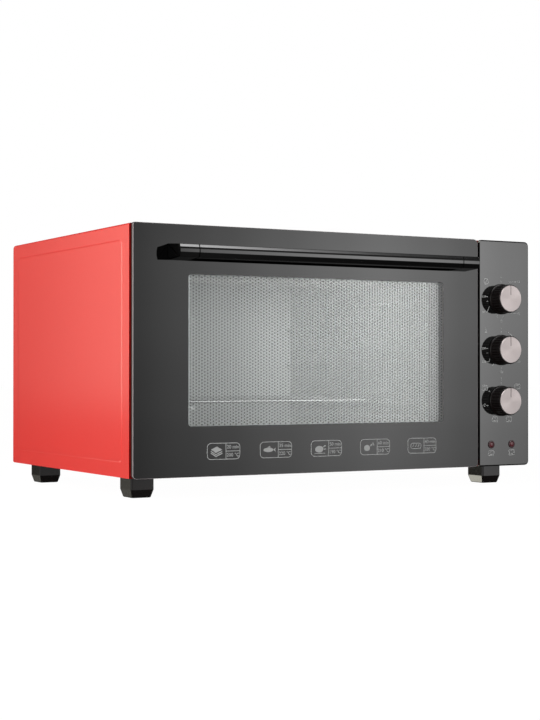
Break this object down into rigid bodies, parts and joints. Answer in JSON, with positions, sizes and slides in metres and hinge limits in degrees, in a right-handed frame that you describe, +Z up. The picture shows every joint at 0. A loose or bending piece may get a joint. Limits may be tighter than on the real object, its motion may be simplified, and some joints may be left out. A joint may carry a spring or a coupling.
{
  "type": "mini oven",
  "caption": "Countertop mini oven: red sheet-steel cabinet on feet, black glass drop-down door with window and bar handle, wire rack, rotary control knobs and lamps.",
  "frame": {"origin": "on the floor under the centre of the whole oven, handle and cord bush included", "axes": "+X to the right seen from the front, +Y to the back, +Z up; the glass front faces -Y"},
  "size_m": [0.6, 0.4524, 0.3346],
  "materials": {
    "red_paint": "satin",
    "galvanised_steel": "satin",
    "cavity_steel": "satin",
    "heater_steel": "satin",
    "bright_steel": "polished",
    "printed_black_glass": "gloss",
    "clear_glass": "gloss",
    "black_enamel": "gloss",
    "black_gloss": "gloss",
    "black_plastic": "satin",
    "foot_plastic": "matte",
    "champagne_metal": "spun",
    "red_lens": "gloss",
    "cream_ceramic": "matte",
    "wire_cover": "matte"
  },
  "bodies": {
    "cabinet": {"outer_wrapper": "red_paint", "base_panel": "red_paint", "front_frame": "galvanised_steel", "back_panel": "galvanised_steel", "cavity_liner": "cavity_steel", "cavity_back": "cavity_steel", "rack_guide_left": "cavity_steel", "rack_guide_right": "cavity_steel", "upper_heater": "heater_steel", "lower_heater": "heater_steel", "thermostat_bulb": "bright_steel", "control_partition": "galvanised_steel", "control_fascia": "printed_black_glass", "fascia_carrier": "galvanised_steel", "timer_body": "galvanised_steel", "thermostat_body": "cream_ceramic", "selector_body": "black_plastic", "terminal_block": "cream_ceramic", "cord_gland": "black_plastic", "wiring_loom": "wire_cover", "hinge_bracket_left": "galvanised_steel", "hinge_pin_left": "bright_steel", "hinge_spring_left": "bright_steel", "indicator_lamp_left": "red_lens", "back_screw_lower_left": "bright_steel", "back_screw_upper_left": "bright_steel", "hinge_bracket_right": "galvanised_steel", "hinge_pin_right": "bright_steel", "hinge_spring_right": "bright_steel", "indicator_lamp_right": "red_lens", "back_screw_lower_right": "bright_steel", "back_screw_upper_right": "bright_steel", "foot_front_left": "foot_plastic", "foot_screw_front_left": "bright_steel", "foot_rear_left": "foot_plastic", "foot_screw_rear_left": "bright_steel", "foot_front_right": "foot_plastic", "foot_screw_front_right": "bright_steel", "foot_rear_right": "foot_plastic", "foot_screw_rear_right": "bright_steel"},
    "door": {"door_glass": "printed_black_glass", "door_frame": "black_enamel", "inner_glass": "clear_glass", "handle_bar": "black_gloss", "handle_end_left": "black_gloss", "handle_end_right": "black_gloss", "handle_screw_left": "bright_steel", "handle_screw_right": "bright_steel", "hinge_arm_left": "galvanised_steel", "hinge_arm_right": "galvanised_steel"},
    "rack": {"wire_rack": "bright_steel"},
    "timer_control": {"timer_shaft": "bright_steel", "timer_knob": "black_plastic", "timer_knob_cap": "champagne_metal"},
    "thermostat_control": {"thermostat_shaft": "bright_steel", "thermostat_knob": "black_plastic", "thermostat_knob_cap": "champagne_metal"},
    "selector_control": {"selector_shaft": "bright_steel", "selector_knob": "black_plastic", "selector_knob_cap": "champagne_metal"}
  },
  "joints": [
    {"name": "door_hinge", "type": "hinge", "parent": "cabinet", "child": "door", "pos_m": [0, -0.17525, 0.033], "axis": [1, 0, 0], "range_deg": [0, 84]},
    {"name": "rack_slide", "type": "slide", "parent": "cabinet", "child": "rack", "axis": [0, -1, 0], "range_m": [0, 0.065]},
    {"name": "timer_turn", "type": "hinge", "parent": "cabinet", "child": "timer_control", "pos_m": [0.2524, -0.19325, 0.2543], "axis": [0, 1, 0], "range_deg": [0, 300]},
    {"name": "thermostat_turn", "type": "hinge", "parent": "cabinet", "child": "thermostat_control", "pos_m": [0.2524, -0.19325, 0.18465], "axis": [0, 1, 0], "range_deg": [0, 290]},
    {"name": "selector_turn", "type": "hinge", "parent": "cabinet", "child": "selector_control", "pos_m": [0.2524, -0.19325, 0.115], "axis": [0, 1, 0], "range_deg": [0, 308]}
  ]
}
